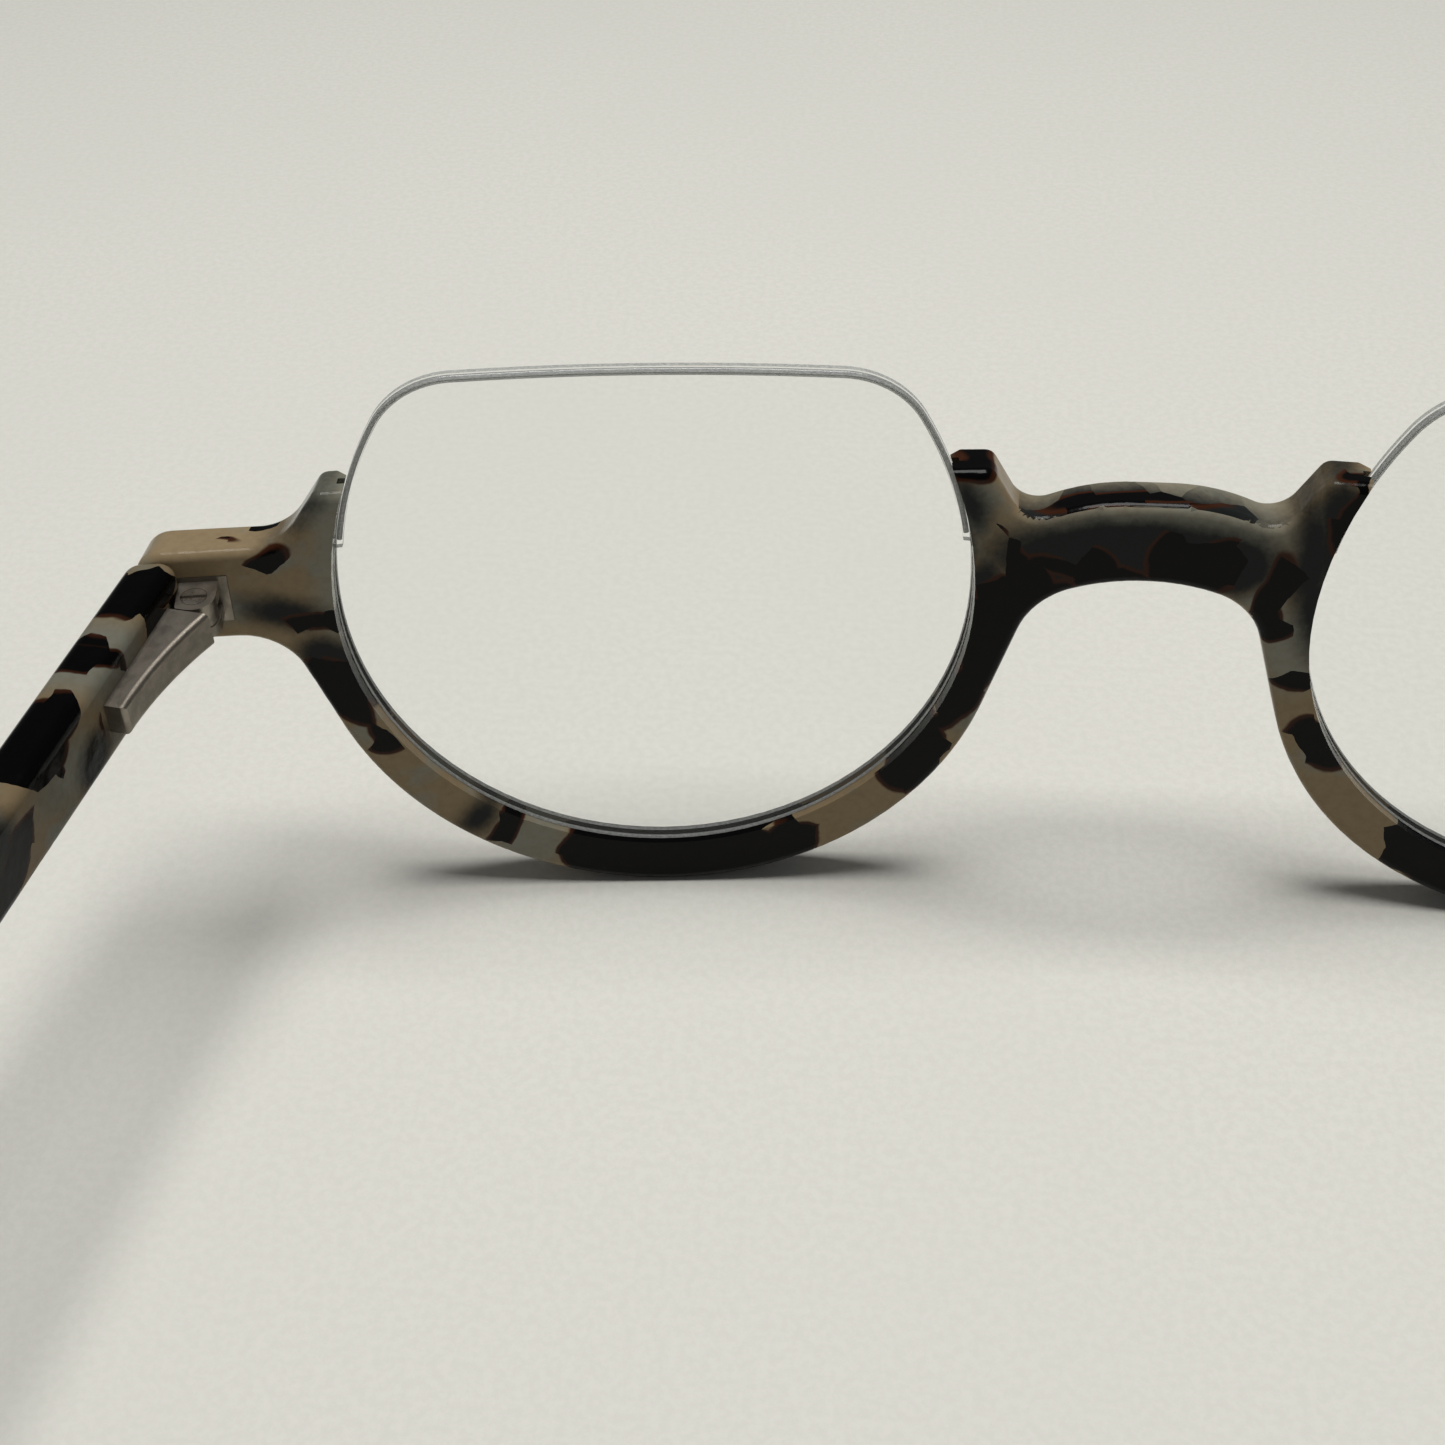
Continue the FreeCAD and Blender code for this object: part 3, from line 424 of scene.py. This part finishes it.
def lens_finish():
    """Clear polished faces, and a ground edge."""
    sh = Shader("lens_finish")
    place = sh.mm()
    facing = sh.math("ABSOLUTE", sh.split(sh.add("ShaderNodeNewGeometry").outputs["True Normal"])[1])
    edge = sh.spread(facing, 0.80, 0.90, 1.0, 0.0)
    frost = sh.noise(place, 5.0, 4.0, 0.7)
    ground = sh.principled(
        Base_Color=sh.mix(sh.spread(frost, 0.3, 0.7), (0.16, 0.165, 0.16, 1), (0.34, 0.35, 0.335, 1)),
        Normal=sh.bump(frost, 0.3, 0.00004),
    )
    ground.inputs["Roughness"].default_value = 0.45
    ground.inputs["Alpha"].default_value = 0.75
    clear = sh.add("ShaderNodeBsdfTransparent")
    clear.inputs[0].default_value = (0.995, 0.997, 0.995, 1)
    gloss = sh.add("ShaderNodeBsdfGlossy")
    gloss.inputs["Roughness"].default_value = 0.03
    slant = sh.add("ShaderNodeLayerWeight").outputs["Facing"]
    mirror = sh.math("MULTIPLY_ADD", sh.math("POWER", slant, 5.0), 0.96, 0.035)
    faces = sh.add("ShaderNodeMixShader")
    sh.link(mirror, faces.inputs[0])
    sh.link(clear.outputs[0], faces.inputs[1])
    sh.link(gloss.outputs[0], faces.inputs[2])
    both = sh.add("ShaderNodeMixShader")
    sh.link(edge, both.inputs[0])
    sh.link(faces.outputs[0], both.inputs[1])
    sh.link(ground.outputs[0], both.inputs[2])
    return sh.finish(both.outputs[0])


def nylon():
    sh = Shader("nylon_line")
    place = sh.mm()
    streak = sh.noise(sh.vector("MULTIPLY", place, (0.3, 4.0, 4.0)), 2.0, 3.0, 0.6)
    shader = sh.principled(
        Base_Color=sh.mix(sh.spread(streak, 0.3, 0.7), (0.20, 0.205, 0.20, 1), (0.32, 0.325, 0.315, 1)),
        Roughness=sh.spread(streak, 0.3, 0.7, 0.12, 0.26),
        Normal=sh.bump(streak, 0.1, 0.00003),
    )
    shader.inputs["Alpha"].default_value = 0.8
    return sh.finish(shader.outputs[0])


def floor_finish():
    sh = Shader("floor_finish")
    place = sh.mm()
    cloud = sh.noise(place, 0.02, 3.0, 0.5)
    grain = sh.noise(place, 1.4, 3.0, 0.7)
    colour = sh.mix(sh.spread(cloud, 0.3, 0.7), (0.640, 0.632, 0.585, 1), (0.625, 0.617, 0.572, 1))
    colour = sh.mix(sh.spread(grain, 0.35, 0.65), colour, (0.600, 0.592, 0.548, 1))
    shader = sh.principled(Base_Color=colour, Normal=sh.bump(grain, 0.05, 0.0001))
    shader.inputs["Roughness"].default_value = 0.7
    shader.inputs["Specular IOR Level"].default_value = 0.1
    return sh.finish(shader.outputs[0])


def wear(node, material):
    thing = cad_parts[node]
    thing.data.materials.clear()
    thing.data.materials.append(material)


# ------------------------------------------------------------------ room
def add_floor():
    low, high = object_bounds()
    mesh = bpy.data.meshes.new("floor")
    corners = [(x * FLOOR_REACH, y * FLOOR_REACH, low.z) for x, y in ((-1, -1), (1, -1), (1, 1), (-1, 1))]
    mesh.from_pydata(corners, [], [(0, 1, 2, 3)])
    floor = bpy.data.objects.new("floor", mesh)
    floor.data.materials.append(floor_finish())
    bpy.context.scene.collection.objects.link(floor)
    floor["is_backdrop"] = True


def add_area(name, place, aim, size, power, colour):
    data = bpy.data.lights.new(name, "AREA")
    data.shape = "RECTANGLE"
    data.size, data.size_y = size
    data.energy = power
    data.color = colour
    lamp = bpy.data.objects.new(name, data)
    lamp.location = place
    lamp.rotation_mode = "QUATERNION"
    lamp.rotation_quaternion = (Vector(aim) - Vector(place)).to_track_quat("-Z", "Y")
    bpy.context.scene.collection.objects.link(lamp)


def add_light():
    low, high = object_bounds()
    front = (LAMP_X, low.y, 0.0)
    add_area("softbox", (LAMP_X, low.y + LAMP_BEHIND, LAMP_HIGH), front, LAMP_SIZE, LAMP_POWER, LAMP_COLOUR)
    world = bpy.data.worlds.new("world")
    world.use_nodes = True
    sky = world.node_tree.nodes["Background"]
    sky.inputs["Color"].default_value = ROOM_COLOUR
    sky.inputs["Strength"].default_value = ROOM_LIGHT
    bpy.context.scene.world = world


# ------------------------------------------------------------------ scene
bpy.context.scene.view_settings.view_transform = "Standard"
add_camera()
add_floor()
add_light()

wear("frame_front", acetate("acetate_front", front_marks, nowhere, 1))
wear("temple_left", acetate("acetate_temple_left", temple_marks(0.0), behind(-33.0), 2, 0.66))
wear("temple_right", acetate("acetate_temple_right", temple_marks(5.0), behind(-38.0), 5, 0.66))
metal = satin_metal("satin_nickel", (0.27, 0.24, 0.20), 0.36)
screw_metal = satin_metal("screw_nickel", (0.36, 0.325, 0.28), 0.30, 0.6)
steel = satin_metal("plain_steel", (0.50, 0.49, 0.47), 0.30, 0.5)
clear = lens_finish()
line = nylon()
for side in SIDES:
    wear("lens_" + side, clear)
    wear("nylon_cord_" + side, line)
    for node in ("hinge_front_", "spring_slider_", "spring_housing_"):
        wear(node + side, metal)
    wear("hinge_screw_" + side, screw_metal)
    for node in ("slider_nut_", "stop_bush_", "hinge_spring_", "core_wire_"):
        wear(node + side, steel)
